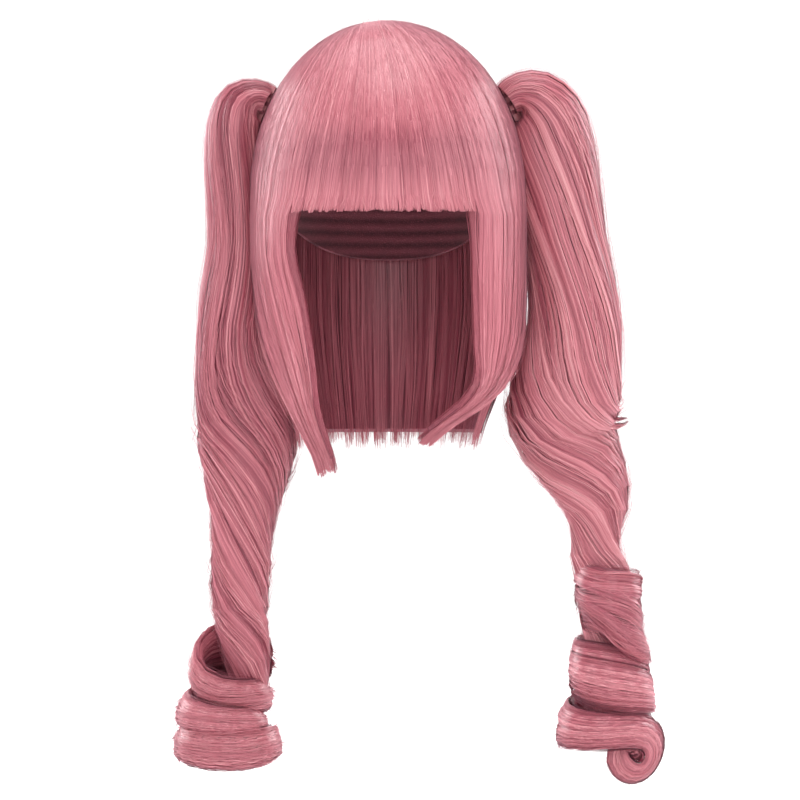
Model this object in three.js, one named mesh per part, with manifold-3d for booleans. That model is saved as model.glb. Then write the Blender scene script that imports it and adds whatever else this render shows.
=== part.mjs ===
// Wig with two pigtails: a stretch cap that carries a bob with a straight-cut fringe and two side
// locks, and two wavy pigtails on claw clips, each ending in a spiral curl.
// Millimetres, +Z up. The face looks along -Y and +X is the wearer's left. The origin is the
// inside of the cap's crown, where the top of the head sits.
import * as THREE from "three";
import { mergeVertices } from "three/addons/utils/BufferGeometryUtils.js";
import Module from "manifold-3d";

const wasm = await Module();
wasm.setup();

// Head that the cap fits
const HEAD_WIDTH = 152;
const HEAD_LENGTH = 190;
const HEAD_RISE = 100; // from the widest level up to the crown
const ROUNDNESS = 2.08; // 2 is an ellipsoid, and more is squarer

// Cap, and the gaps that touching pieces keep
const CAP_WALL = 1.6;
const SEAT_GAP = 1.2; // between the curved cap and the flat facets of the hair over it
const GAP = 0.4; // between all other pieces

// Hair on the head: how far it stands off the cap, and how far it falls below its widest level
const SIDE_LOFT = 19.4;
const FRINGE_LOFT = 11.4;
const BACK_LOFT = 19.4;
const CROWN_LOFT = 12.2;
const WIDEST_DROP = 12; // the hair is widest this far below the head's widest level
const FRINGE_DROP = 11;
const BACK_DROP = 171;
const LEFT_LOCK_DROP = 169;
const RIGHT_LOCK_DROP = 189;
const LEFT_PARTING = 40; // degrees from the face's middle to where the fringe meets a side lock
const RIGHT_PARTING = 44;
const EAR = 90; // degrees from the face's middle to where a side lock meets the back hair
const WHORL = 0.2; // share of the way from the crown to the widest level that the whorl covers
const GROOVE = 1.6; // depth of the grooves between the locks of the head's hair
const HEM_JAG = 3.5; // how far the locks' cut ends differ

// Pigtails
const PIGTAIL_LENGTH = 485;
const PIGTAIL_WIDTH = 80;
const PIGTAIL_DEPTH = 62;
const PIGTAIL_LOCKS = 6;
const LOCK_CREASE = 4; // depth of the creases between a pigtail's locks
const ROOT_AZIMUTH = 93; // degrees from the face's middle to a pigtail's root
const ROOT_POLAR = 0.65; // share of the way from the crown to the widest level
const CURL_RADIUS = 32;
const CURL_BAND = 25; // height of the curl's band of hair
const CURL_LAYER = 8; // its thickness

// Claw clips
const CLIP_LENGTH = 26; // down over the hair
const CLIP_WIDTH = 24; // fore and aft
const CLIP_HEIGHT = 7;
const CLIP_WALL = 2;
const CLIP_SHOWN = 4; // height of it that stays clear of the pigtail
const CLIP_TEETH = 4;
const TOOTH_SHARE = 0.55; // of the clip's height that the slots between the teeth take

const DEGREE = Math.PI / 180;
const HAIR_COLOUR = 0xc9707f;
const CAP_COLOUR = 0x8f5560;
const CLIP_COLOUR = 0x5a2f36;

// The cap's rim, from the middle of the forehead back to the nape
const CAP_RIM = [
  { polar: 0.74 },
  { polar: 0.86 },
  { polar: 1.06 },
  { polar: 1.2 },
  { polar: 1.32 },
];

// Hair below its widest level, in even steps down its drop. Azimuths are in degrees from the
// face's middle; wide and deep are shares of the width and depth at the widest level, and layer is
// a share of the hair's thickness there.
const FRINGE_FALL = [
  { from: -RIGHT_PARTING, to: LEFT_PARTING, wide: 1, deep: 1, layer: 1 },
  { from: -RIGHT_PARTING, to: LEFT_PARTING, wide: 0.99, deep: 0.985, layer: 0.55 },
];
const LEFT_LOCK_FALL = [
  { from: LEFT_PARTING, to: EAR, wide: 1, deep: 1, layer: 1 },
  { from: 40, to: 89, wide: 1, deep: 0.98, layer: 0.55 },
  { from: 40, to: 86, wide: 1, deep: 0.95, layer: 0.45 },
  { from: 41, to: 79, wide: 0.99, deep: 0.9, layer: 0.4 },
  { from: 41, to: 56, wide: 0.95, deep: 0.82, layer: 0.35 },
  { from: 15, to: 23, wide: 0.82, deep: 0.68, layer: 0.25 },
];
const RIGHT_LOCK_FALL = [
  { from: -EAR, to: -RIGHT_PARTING, wide: 1, deep: 1, layer: 1 },
  { from: -88, to: -46, wide: 1, deep: 0.98, layer: 0.55 },
  { from: -82, to: -40, wide: 0.97, deep: 0.94, layer: 0.45 },
  { from: -67, to: -36.5, wide: 0.93, deep: 0.88, layer: 0.4 },
  { from: -50, to: -35, wide: 0.88, deep: 0.8, layer: 0.35 },
  { from: -36, to: -26, wide: 0.84, deep: 0.7, layer: 0.25 },
];
const BACK_FALL = [
  { from: EAR, to: 360 - EAR, wide: 1, deep: 1, layer: 1 },
  { from: 90, to: 270, wide: 0.99, deep: 0.99, layer: 0.8 },
  { from: 88, to: 272, wide: 0.93, deep: 0.93, layer: 0.6 },
  { from: 84, to: 276, wide: 0.81, deep: 0.82, layer: 0.45 },
  { from: 78, to: 282, wide: 0.66, deep: 0.68, layer: 0.3 },
];

// A pigtail from its root down: drop is a share of its length, out and wide of its width, back and
// deep of its depth, and turn is how far its locks have wound round it, in degrees
const LEFT_BODY = [
  { drop: 0, out: -0.06, back: 0, wide: 0.25, deep: 0.56, turn: 0 },
  { drop: -0.016, out: 0.09, back: 0.02, wide: 0.35, deep: 0.68, turn: 0 },
  { drop: -0.01, out: 0.245, back: 0.04, wide: 0.52, deep: 0.8, turn: 0 },
  { drop: 0.018, out: 0.35, back: 0.06, wide: 0.68, deep: 0.89, turn: 2 },
  { drop: 0.065, out: 0.39, back: 0.08, wide: 0.77, deep: 0.95, turn: 5 },
  { drop: 0.13, out: 0.455, back: 0.1, wide: 0.75, deep: 1, turn: 8 },
  { drop: 0.195, out: 0.515, back: 0.12, wide: 0.73, deep: 1, turn: 10 },
  { drop: 0.26, out: 0.58, back: 0.15, wide: 0.75, deep: 1, turn: 5 },
  { drop: 0.325, out: 0.6, back: 0.2, wide: 0.82, deep: 1, turn: -10 },
  { drop: 0.39, out: 0.54, back: 0.28, wide: 0.94, deep: 1, turn: -35 },
  { drop: 0.44, out: 0.51, back: 0.36, wide: 0.97, deep: 0.95, turn: -65 },
  { drop: 0.485, out: 0.56, back: 0.45, wide: 0.81, deep: 0.88, turn: -100 },
  { drop: 0.535, out: 0.72, back: 0.5, wide: 0.7, deep: 0.78, turn: -135 },
  { drop: 0.58, out: 0.805, back: 0.52, wide: 0.58, deep: 0.66, turn: -170 },
  { drop: 0.62, out: 0.8, back: 0.52, wide: 0.42, deep: 0.52, turn: -205 },
  { drop: 0.657, out: 0.81, back: 0.5, wide: 0.44, deep: 0.54, turn: -240 },
  { drop: 0.7, out: 0.89, back: 0.48, wide: 0.46, deep: 0.56, turn: -275 },
  { drop: 0.75, out: 0.92, back: 0.46, wide: 0.46, deep: 0.56, turn: -310 },
  { drop: 0.8, out: 0.93, back: 0.45, wide: 0.46, deep: 0.56, turn: -345 },
  { drop: 0.85, out: 0.92, back: 0.45, wide: 0.42, deep: 0.52, turn: -385 },
  { drop: 0.895, out: 0.9, back: 0.45, wide: 0.34, deep: 0.42, turn: -420 },
  { drop: 0.918, out: 0.89, back: 0.45, wide: 0.14, deep: 0.18, turn: -440 },
];
const RIGHT_BODY = [
  { drop: 0, out: -0.06, back: 0, wide: 0.25, deep: 0.56, turn: 0 },
  { drop: -0.01, out: 0.09, back: 0.02, wide: 0.32, deep: 0.68, turn: 0 },
  { drop: 0, out: 0.23, back: 0.03, wide: 0.44, deep: 0.78, turn: 0 },
  { drop: 0.03, out: 0.305, back: 0.04, wide: 0.47, deep: 0.86, turn: 3 },
  { drop: 0.073, out: 0.325, back: 0.05, wide: 0.48, deep: 0.92, turn: 8 },
  { drop: 0.138, out: 0.305, back: 0.05, wide: 0.49, deep: 0.96, turn: 15 },
  { drop: 0.203, out: 0.29, back: 0.05, wide: 0.51, deep: 0.98, turn: 25 },
  { drop: 0.268, out: 0.305, back: 0.04, wide: 0.6, deep: 1, turn: 38 },
  { drop: 0.325, out: 0.305, back: 0.02, wide: 0.65, deep: 1, turn: 48 },
  { drop: 0.383, out: 0.26, back: -0.02, wide: 0.77, deep: 1, turn: 50 },
  { drop: 0.434, out: 0.21, back: -0.06, wide: 0.86, deep: 0.96, turn: 38 },
  { drop: 0.477, out: 0.185, back: -0.08, wide: 0.89, deep: 0.9, turn: 15 },
  { drop: 0.52, out: 0.185, back: -0.1, wide: 0.82, deep: 0.84, turn: -15 },
  { drop: 0.564, out: 0.21, back: -0.1, wide: 0.67, deep: 0.76, turn: -50 },
  { drop: 0.614, out: 0.235, back: -0.08, wide: 0.54, deep: 0.66, turn: -90 },
  { drop: 0.672, out: 0.255, back: -0.06, wide: 0.53, deep: 0.62, turn: -140 },
  { drop: 0.73, out: 0.26, back: -0.05, wide: 0.5, deep: 0.6, turn: -190 },
  { drop: 0.775, out: 0.22, back: -0.06, wide: 0.44, deep: 0.54, turn: -240 },
  { drop: 0.82, out: 0.18, back: -0.02, wide: 0.36, deep: 0.46, turn: -280 },
  { drop: 0.855, out: 0.2, back: 0.06, wide: 0.34, deep: 0.44, turn: -310 },
  { drop: 0.885, out: 0.27, back: 0.06, wide: 0.3, deep: 0.38, turn: -330 },
  { drop: 0.905, out: 0.3, back: 0.04, wide: 0.12, deep: 0.16, turn: -345 },
];

// A curl's band of hair as it winds down: drop, out and back place the middle of its turns, turn
// is the way round from the wearer's left, radius and high are shares of the curl's radius and
// band, tilt lowers the front of the turn, and lean swings the band's lower edge outwards, in
// degrees
const LEFT_UPPER_CURL = [
  { drop: 0.685, out: 0.87, back: 0.47, turn: 90, radius: 0.5, tilt: 0, high: 1.2, lean: 0 },
  { drop: 0.695, out: 0.93, back: 0.46, turn: 180, radius: 0.64, tilt: 0, high: 1.5, lean: 0 },
  { drop: 0.718, out: 0.935, back: 0.45, turn: 270, radius: 0.72, tilt: 0, high: 2.2, lean: 2 },
  { drop: 0.752, out: 0.885, back: 0.45, turn: 360, radius: 0.67, tilt: 0, high: 2.8, lean: 16 },
  { drop: 0.78, out: 0.89, back: 0.45, turn: 450, radius: 0.62, tilt: 0, high: 2, lean: 8 },
];
const LEFT_CURL = [
  { drop: 0.795, out: 0.92, back: 0.45, turn: 450, radius: 0.66, tilt: 0, high: 1.1, lean: 0 },
  { drop: 0.81, out: 0.94, back: 0.45, turn: 540, radius: 0.8, tilt: 0, high: 1.4, lean: 4 },
  { drop: 0.828, out: 0.94, back: 0.45, turn: 630, radius: 0.82, tilt: 0, high: 1.75, lean: 8 },
  { drop: 0.847, out: 0.93, back: 0.45, turn: 720, radius: 0.8, tilt: 0, high: 1.45, lean: 12 },
  { drop: 0.87, out: 0.89, back: 0.45, turn: 810, radius: 0.8, tilt: 0, high: 1.1, lean: 12 },
  { drop: 0.895, out: 0.87, back: 0.44, turn: 900, radius: 0.88, tilt: 0, high: 1.25, lean: 14 },
  { drop: 0.912, out: 0.91, back: 0.43, turn: 990, radius: 0.88, tilt: -8, high: 1.05, lean: 4 },
  { drop: 0.93, out: 1.08, back: 0.4, turn: 1080, radius: 0.57, tilt: -48, high: 1, lean: -32 },
  { drop: 0.942, out: 1.15, back: 0.34, turn: 1170, radius: 0.43, tilt: -72, high: 0.95, lean: -55 },
  { drop: 0.943, out: 1.16, back: 0.3, turn: 1260, radius: 0.42, tilt: -80, high: 0.85, lean: -62 },
  { drop: 0.943, out: 1.15, back: 0.28, turn: 1320, radius: 0.4, tilt: -85, high: 0.45, lean: -62 },
];
const LEFT_FLICK = [
  { drop: 0.395, out: 0.92, back: 0.3, turn: 122, radius: 1, tilt: -90, high: 0.5, lean: 0 },
  { drop: 0.395, out: 0.92, back: 0.29, turn: 104, radius: 1, tilt: -90, high: 0.5, lean: 0 },
  { drop: 0.395, out: 0.92, back: 0.28, turn: 85, radius: 1, tilt: -90, high: 0.4, lean: 0 },
  { drop: 0.395, out: 0.92, back: 0.27, turn: 66, radius: 1, tilt: -90, high: 0.15, lean: 0 },
];
const RIGHT_CURL = [
  { drop: 0.8, out: 0.28, back: -0.02, turn: 0, radius: 0.66, tilt: 20, high: 1.1, lean: 0 },
  { drop: 0.815, out: 0.36, back: 0, turn: 90, radius: 0.68, tilt: 34, high: 1.7, lean: 0 },
  { drop: 0.815, out: 0.38, back: 0, turn: 180, radius: 0.66, tilt: 36, high: 1.4, lean: 0 },
  { drop: 0.824, out: 0.38, back: 0, turn: 270, radius: 0.8, tilt: 30, high: 1, lean: 6 },
  { drop: 0.852, out: 0.36, back: 0, turn: 360, radius: 0.82, tilt: 14, high: 0.8, lean: 12 },
  { drop: 0.862, out: 0.36, back: 0, turn: 450, radius: 0.86, tilt: 8, high: 0.8, lean: 12 },
  { drop: 0.872, out: 0.36, back: 0, turn: 540, radius: 1, tilt: 5, high: 0.9, lean: 14 },
  { drop: 0.881, out: 0.34, back: 0, turn: 630, radius: 0.96, tilt: 4, high: 0.75, lean: 14 },
  { drop: 0.889, out: 0.32, back: 0, turn: 720, radius: 0.6, tilt: 4, high: 0.6, lean: 10 },
  { drop: 0.9, out: 0.34, back: 0, turn: 810, radius: 0.8, tilt: 4, high: 0.85, lean: 8 },
  { drop: 0.915, out: 0.36, back: 0, turn: 900, radius: 1.04, tilt: 3, high: 1.05, lean: 8 },
  { drop: 0.924, out: 0.33, back: 0, turn: 990, radius: 1.04, tilt: 3, high: 1.15, lean: 6 },
  { drop: 0.917, out: 0.32, back: 0, turn: 1080, radius: 0.96, tilt: 3, high: 1, lean: 4 },
  { drop: 0.922, out: 0.32, back: 0, turn: 1150, radius: 0.9, tilt: 0, high: 0.5, lean: 0 },
];

// The forms that the pieces on the head follow
const HEAD = {
  side: HEAD_WIDTH / 2,
  front: HEAD_LENGTH / 2,
  back: HEAD_LENGTH / 2,
  crown: 0,
  level: -HEAD_RISE,
};
const CAP = grown(HEAD, CAP_WALL);
const SEAT = grown(HEAD, CAP_WALL + SEAT_GAP);
const HAIR = {
  side: CAP.side + SIDE_LOFT,
  front: CAP.front + FRINGE_LOFT,
  back: CAP.back + BACK_LOFT,
  crown: CAP.crown + CROWN_LOFT,
  level: HEAD.level - WIDEST_DROP,
};

const PANELS = {
  fringe: { fall: FRINGE_FALL, drop: FRINGE_DROP, columns: 28, steps: 2 },
  side_lock_left: { fall: LEFT_LOCK_FALL, drop: LEFT_LOCK_DROP, columns: 10, steps: 9 },
  side_lock_right: { fall: RIGHT_LOCK_FALL, drop: RIGHT_LOCK_DROP, columns: 10, steps: 9 },
  back_hair: { fall: BACK_FALL, drop: BACK_DROP, columns: 30, steps: 7 },
};
const DOME_STEPS = 6;

function grown(form, by) {
  return {
    ...form,
    side: form.side + by,
    front: form.front + by,
    back: form.back + by,
    crown: form.crown + by,
  };
}

// Every column of a table at a share of the way through its rows, on a smooth curve.
function along(rows, share) {
  const last = rows.length - 1;
  const place = THREE.MathUtils.clamp(share, 0, 1) * last;
  const start = Math.min(Math.floor(place), last - 1);
  const part = place - start;
  const near = [-1, 0, 1, 2].map((k) => rows[THREE.MathUtils.clamp(start + k, 0, last)]);
  const found = {};
  for (const name of Object.keys(rows[0])) {
    const [before, from, to, after] = near.map((row) => row[name]);
    const leaving = (to - before) / 2;
    const arriving = (after - from) / 2;
    found[name] =
      (2 * part ** 3 - 3 * part ** 2 + 1) * from +
      (part ** 3 - 2 * part ** 2 + part) * leaving +
      (3 * part ** 2 - 2 * part ** 3) * to +
      (part ** 3 - part ** 2) * arriving;
  }
  return found;
}

// Point of an egg-shaped form. Azimuth 0 is the face's middle and 90 the wearer's left; polar runs
// from 0 at the crown to 1 at the widest level, and past it where the form narrows again.
function eggPoint(form, azimuth, polar) {
  const turn = azimuth * DEGREE;
  const tilt = polar * 90 * DEGREE;
  const spread = Math.sin(tilt) ** (2 / ROUNDNESS);
  const height = Math.sign(Math.cos(tilt)) * Math.abs(Math.cos(tilt)) ** (2 / ROUNDNESS);
  const reach = Math.cos(turn) > 0 ? form.front : form.back;
  return new THREE.Vector3(
    form.side * spread * Math.sin(turn),
    -reach * spread * Math.cos(turn),
    form.level + (form.crown - form.level) * height,
  );
}

// One closed body from points and quads or triangles, with shared corners merged and faces that
// have no area left out.
function bodyOf(points, faces) {
  const raw = new THREE.BufferGeometry();
  const position = new Float32Array(points.flatMap((p) => [p.x, p.y, p.z]));
  raw.setAttribute("position", new THREE.BufferAttribute(position, 3));
  raw.setIndex(faces.flatMap(([a, b, c, d]) => (d === undefined ? [a, b, c] : [a, b, c, a, c, d])));
  const merged = mergeVertices(raw, 1e-3);
  const corners = merged.index.array;
  const kept = [];
  for (let i = 0; i < corners.length; i += 3) {
    const [a, b, c] = corners.slice(i, i + 3);
    if (a !== b && b !== c && c !== a) kept.push(a, b, c);
  }
  return new wasm.Manifold(
    new wasm.Mesh({
      numProp: 3,
      vertProperties: merged.attributes.position.array,
      triVerts: new Uint32Array(kept),
    }),
  );
}

// A layer between an outer and an inner grid of points, closed round its edges. A round layer
// meets itself at its first and last column, and a domed one starts at a single point.
function layerOf(columns, rows, outer, inner, { round = false, domed = false } = {}) {
  const points = [];
  for (const skin of [outer, inner])
    for (let j = 0; j <= rows; j++) for (let i = 0; i <= columns; i++) points.push(skin(i, j));
  const o = (i, j) => j * (columns + 1) + i;
  const n = (i, j) => o(i, j) + (columns + 1) * (rows + 1);
  const faces = [];
  for (let j = 0; j < rows; j++)
    for (let i = 0; i < columns; i++) {
      faces.push([o(i, j), o(i, j + 1), o(i + 1, j + 1), o(i + 1, j)]);
      faces.push([n(i, j), n(i + 1, j), n(i + 1, j + 1), n(i, j + 1)]);
    }
  for (let i = 0; i < columns; i++) {
    if (!domed) faces.push([o(i, 0), o(i + 1, 0), n(i + 1, 0), n(i, 0)]);
    faces.push([o(i + 1, rows), o(i, rows), n(i, rows), n(i + 1, rows)]);
  }
  for (let j = 0; j < rows && !round; j++) {
    faces.push([o(0, j + 1), o(0, j), n(0, j), n(0, j + 1)]);
    faces.push([o(columns, j), o(columns, j + 1), n(columns, j + 1), n(columns, j)]);
  }
  return bodyOf(points, faces);
}

// A skin through rings of points, with a fan over each end.
function ringsOf(rings) {
  const size = rings[0].length;
  const points = rings.flat();
  const faces = [];
  for (let j = 0; j < rings.length - 1; j++)
    for (let k = 0; k < size; k++) {
      const next = (k + 1) % size;
      faces.push([j * size + k, j * size + next, (j + 1) * size + next, (j + 1) * size + k]);
    }
  for (const ring of [0, rings.length - 1]) {
    const middle = new THREE.Vector3();
    for (const point of rings[ring]) middle.addScaledVector(point, 1 / size);
    const hub = points.push(middle) - 1;
    for (let k = 0; k < size; k++) {
      const rim = [ring * size + k, ring * size + ((k + 1) % size)];
      faces.push(ring === 0 ? [hub, rim[1], rim[0]] : [hub, rim[0], rim[1]]);
    }
  }
  return bodyOf(points, faces);
}

// Cap
function cap() {
  const columns = 26;
  const rows = 7;
  const skin = (form) => (i, j) => {
    const azimuth = (i / columns) * 360;
    const rim = along(CAP_RIM, (1 - Math.cos(azimuth * DEGREE)) / 2).polar;
    return eggPoint(form, azimuth, (rim * j) / rows);
  };
  return layerOf(columns, rows, skin(CAP), skin(HEAD), { round: true, domed: true });
}

// Whorl of hair at the crown, which the four panels start round
function whorl() {
  const columns = 24;
  const rows = 2;
  const rim = WHORL - GAP / (HAIR.front * 90 * DEGREE);
  const skin = (form) => (i, j) => eggPoint(form, (i / columns) * 360, (rim * j) / rows);
  return layerOf(columns, rows, skin(HAIR), skin(SEAT), { round: true, domed: true });
}

// A panel of hair from the whorl down. A filled one runs in towards the head's axis and stands
// proud by the gap, and other pieces are cut back by it.
function panelSolid({ fall, drop, columns, steps }, filled = false) {
  const seam = (GAP / eggPoint(HAIR, EAR, WHORL).x / DEGREE) * (filled ? -1 : 0.5);
  const skins = (i, j) => {
    const share = Math.max(0, j - DOME_STEPS) / steps;
    const polar = WHORL + (1 - WHORL) * Math.min(1, j / DOME_STEPS);
    const row = along(fall, share);
    const azimuth = THREE.MathUtils.lerp(row.from + seam, row.to - seam, i / columns);
    const rim = eggPoint(HAIR, azimuth, polar);
    const layer = rim.clone().sub(eggPoint(SEAT, azimuth, polar)).multiplyScalar(row.layer);
    const groove = filled ? -2 * GAP : i % 2 && i < columns ? GROOVE * (j / (DOME_STEPS + steps)) : 0;
    const inward = 1 - groove / Math.hypot(rim.x, rim.y);
    const cut = drop - (i % 2 ? HEM_JAG : 0);
    const outer = new THREE.Vector3(
      rim.x * row.wide * inward,
      rim.y * row.deep * inward,
      rim.z - cut * share,
    );
    const inner = filled
      ? new THREE.Vector3(outer.x / 2, outer.y / 2, outer.z)
      : new THREE.Vector3(rim.x * row.wide, rim.y * row.deep, outer.z).sub(layer);
    return { outer, inner };
  };
  return layerOf(
    columns,
    DOME_STEPS + steps,
    (i, j) => skins(i, j).outer,
    (i, j) => skins(i, j).inner,
  );
}

// Where a pigtail grows from on the side of the head: the place on the hair, and the axes there,
// of which x runs down over the hair, y out of it and z along it
function rootFrame(side) {
  const at = (azimuth, polar) => eggPoint(HAIR, side * azimuth, polar);
  const place = at(ROOT_AZIMUTH, ROOT_POLAR);
  const down = at(ROOT_AZIMUTH, ROOT_POLAR + 0.01).sub(place).normalize();
  const rearward = at(ROOT_AZIMUTH + 1, ROOT_POLAR).sub(place);
  const out = down.clone().cross(rearward).multiplyScalar(side).normalize();
  const axes = new THREE.Matrix4().makeBasis(down, out, down.clone().cross(out));
  return { place, axes: axes.setPosition(place) };
}

// Pigtail's gathered body, fluted into locks that wind round it
function pigtailBody(rows, side) {
  const sections = 40;
  const { place } = rootFrame(side);
  const pathPoint = ({ drop, out, back }) =>
    new THREE.Vector3(
      place.x + side * out * PIGTAIL_WIDTH,
      place.y + back * PIGTAIL_DEPTH,
      place.z - drop * PIGTAIL_LENGTH,
    );
  const ringSize = 3 * PIGTAIL_LOCKS;
  const rings = [];
  for (let j = 0; j <= sections; j++) {
    const share = j / sections;
    const row = along(rows, share);
    const ahead = pathPoint(along(rows, share + 0.01));
    const behind = pathPoint(along(rows, share - 0.01));
    const forward = ahead.sub(behind).normalize();
    const across = new THREE.Vector3(0, 1, 0).cross(forward).normalize();
    const rearward = forward.clone().cross(across);
    const ring = [];
    for (let k = 0; k < ringSize; k++) {
      const angle = (k / ringSize) * 360 * DEGREE + row.turn * DEGREE;
      const crease = k % 3 === 0 ? LOCK_CREASE * Math.min(1, 2 * row.wide) * row.wide : 0;
      const wide = (row.wide * PIGTAIL_WIDTH) / 2 - crease;
      const deep = (row.deep * PIGTAIL_DEPTH) / 2 - crease;
      ring.push(
        pathPoint(row)
          .addScaledVector(across, wide * Math.cos(angle))
          .addScaledVector(rearward, deep * Math.sin(angle)),
      );
    }
    rings.push(ring);
  }
  return ringsOf(rings);
}

// Spiral band of hair at a pigtail's end
function curlBand(rows, side) {
  const sections = 3 * (rows.length - 1);
  const { place } = rootFrame(side);
  const radial = ({ turn, tilt }) =>
    new THREE.Vector3(
      Math.cos(turn * DEGREE),
      Math.sin(turn * DEGREE) * Math.cos(tilt * DEGREE),
      Math.sin(turn * DEGREE) * Math.sin(tilt * DEGREE),
    );
  const pathPoint = (row) =>
    new THREE.Vector3(
      place.x + side * row.out * PIGTAIL_WIDTH,
      place.y + row.back * PIGTAIL_DEPTH,
      place.z - row.drop * PIGTAIL_LENGTH,
    ).addScaledVector(radial(row), row.radius * CURL_RADIUS);
  const ringSize = 8;
  const rings = [];
  for (let j = 0; j <= sections; j++) {
    const share = j / sections;
    const row = along(rows, share);
    const ahead = pathPoint(along(rows, share + 0.01));
    const behind = pathPoint(along(rows, share - 0.01));
    const forward = ahead.sub(behind).normalize();
    const outward = radial(row);
    outward.addScaledVector(forward, -outward.dot(forward)).normalize();
    outward.applyAxisAngle(forward, -row.lean * DEGREE);
    const across = forward.clone().cross(outward);
    const ring = [];
    for (let k = 0; k < ringSize; k++) {
      const angle = (k / ringSize) * 360 * DEGREE;
      ring.push(
        pathPoint(row)
          .addScaledVector(outward, (CURL_LAYER / 2) * Math.cos(angle))
          .addScaledVector(across, ((row.high * CURL_BAND) / 2) * Math.sin(angle)),
      );
    }
    rings.push(ring);
  }
  return ringsOf(rings);
}

// Half an oval log standing on the hair at the root, its length down over the hair, with its flat
// side sunk by so much
function arch(side, { wide, high, long, sunk }) {
  const profile = new THREE.Shape();
  profile.moveTo(wide / 2, -sunk);
  profile.absellipse(0, 0, wide / 2, high, 0, Math.PI, false);
  profile.lineTo(-wide / 2, -sunk);
  const options = { depth: long, bevelEnabled: false, curveSegments: 4 };
  const geometry = new THREE.ExtrudeGeometry(profile, options);
  geometry.translate(0, 0, -long / 2);
  geometry.rotateY(90 * DEGREE);
  return solidOf(geometry.applyMatrix4(rootFrame(side).axes));
}

// A block at the root, from so far sunk below the hair up to the given height over it, shifted
// along its length
function rootBlock(side, { wide, high, long, sunk, shift = 0 }) {
  const geometry = new THREE.BoxGeometry(long, high + sunk, wide);
  geometry.translate(shift, (high - sunk) / 2, 0);
  return solidOf(geometry.applyMatrix4(rootFrame(side).axes));
}

// Claw clip: a thin arch over the hair whose two feet are cut into teeth
function clawClip(side) {
  let clip = arch(side, {
    wide: CLIP_WIDTH,
    high: CLIP_HEIGHT,
    long: CLIP_LENGTH,
    sunk: 0,
  }).subtract(
    arch(side, {
      wide: CLIP_WIDTH - 2 * CLIP_WALL,
      high: CLIP_HEIGHT - CLIP_WALL,
      long: CLIP_LENGTH + 2 * CLIP_WALL,
      sunk: CLIP_WALL,
    }),
  );
  const pitch = CLIP_LENGTH / CLIP_TEETH;
  for (let k = 1; k < CLIP_TEETH; k++)
    clip = clip.subtract(
      rootBlock(side, {
        wide: CLIP_WIDTH + 2 * CLIP_WALL,
        high: CLIP_HEIGHT * TOOTH_SHARE,
        long: pitch / 2,
        sunk: CLIP_WALL,
        shift: k * pitch - CLIP_LENGTH / 2,
      }),
    );
  return clip;
}

// A closed geometry as a solid that booleans can cut
function solidOf(geometry) {
  const bare = geometry.clone();
  bare.deleteAttribute("normal");
  bare.deleteAttribute("uv");
  const merged = mergeVertices(bare, 1e-3);
  const index = merged.index.array;
  return new wasm.Manifold(
    new wasm.Mesh({
      numProp: 3,
      vertProperties: merged.attributes.position.array,
      triVerts: new Uint32Array(index),
    }),
  );
}

function largest(solid) {
  const bodies = solid.decompose();
  return bodies.reduce((best, body) => (body.volume() > best.volume() ? body : best));
}

function pigtail(side, bodyRows, curls, headHair) {
  let hair = pigtailBody(bodyRows, side);
  for (const rows of curls) hair = hair.add(curlBand(rows, side));
  const clipRoom = arch(side, {
    wide: CLIP_WIDTH + 2 * GAP,
    high: CLIP_HEIGHT + GAP,
    long: CLIP_LENGTH + 2 * GAP,
    sunk: PIGTAIL_WIDTH / 4,
  });
  const strip = rootBlock(side, {
    wide: PIGTAIL_DEPTH,
    high: CLIP_SHOWN,
    long: 1.5 * CLIP_LENGTH,
    sunk: PIGTAIL_WIDTH / 4,
  });
  return largest(hair.subtract(headHair).subtract(clipRoom).subtract(strip));
}

// Meshes
const materials = {
  hair: new THREE.MeshStandardMaterial({ color: HAIR_COLOUR, roughness: 0.5, metalness: 0 }),
  cap: new THREE.MeshStandardMaterial({ color: CAP_COLOUR, roughness: 0.9, metalness: 0 }),
  clip: new THREE.MeshStandardMaterial({ color: CLIP_COLOUR, roughness: 0.4, metalness: 0 }),
};

function meshOf(name, solid, material) {
  const { vertProperties, triVerts } = solid.getMesh();
  const geometry = new THREE.BufferGeometry();
  geometry.setAttribute("position", new THREE.BufferAttribute(vertProperties, 3));
  geometry.setIndex(new THREE.BufferAttribute(triVerts, 1));
  geometry.computeVertexNormals();
  const mesh = new THREE.Mesh(geometry, material);
  mesh.name = name;
  return mesh;
}

const headHair = ["side_lock_left", "side_lock_right", "back_hair"]
  .map((name) => panelSolid(PANELS[name], true))
  .reduce((all, solid) => all.add(solid));

const wig = new THREE.Group();
wig.name = "pigtail_wig";
wig.add(meshOf("cap", cap(), materials.cap));
wig.add(meshOf("crown_whorl", whorl(), materials.hair));
for (const [name, panel] of Object.entries(PANELS))
  wig.add(meshOf(name, panelSolid(panel), materials.hair));
wig.add(meshOf("claw_clip_left", clawClip(1), materials.clip));
wig.add(meshOf("claw_clip_right", clawClip(-1), materials.clip));
wig.add(
  meshOf(
    "pigtail_left",
    pigtail(1, LEFT_BODY, [LEFT_CURL, LEFT_UPPER_CURL, LEFT_FLICK], headHair),
    materials.hair,
  ),
);
wig.add(
  meshOf("pigtail_right", pigtail(-1, RIGHT_BODY, [RIGHT_CURL], headHair), materials.hair),
);

export default wig;
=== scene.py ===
"""Looks of the pigtail wig: every lock is made of strands of hair over an underlayer that is
darkened with painted shade.

Sizes are in millimetres, as on the CAD part, and become metres where a mesh is made. The face
looks along -Y, +X is the wearer's left, and the origin is the inside of the cap's crown.
"""

import math

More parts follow.
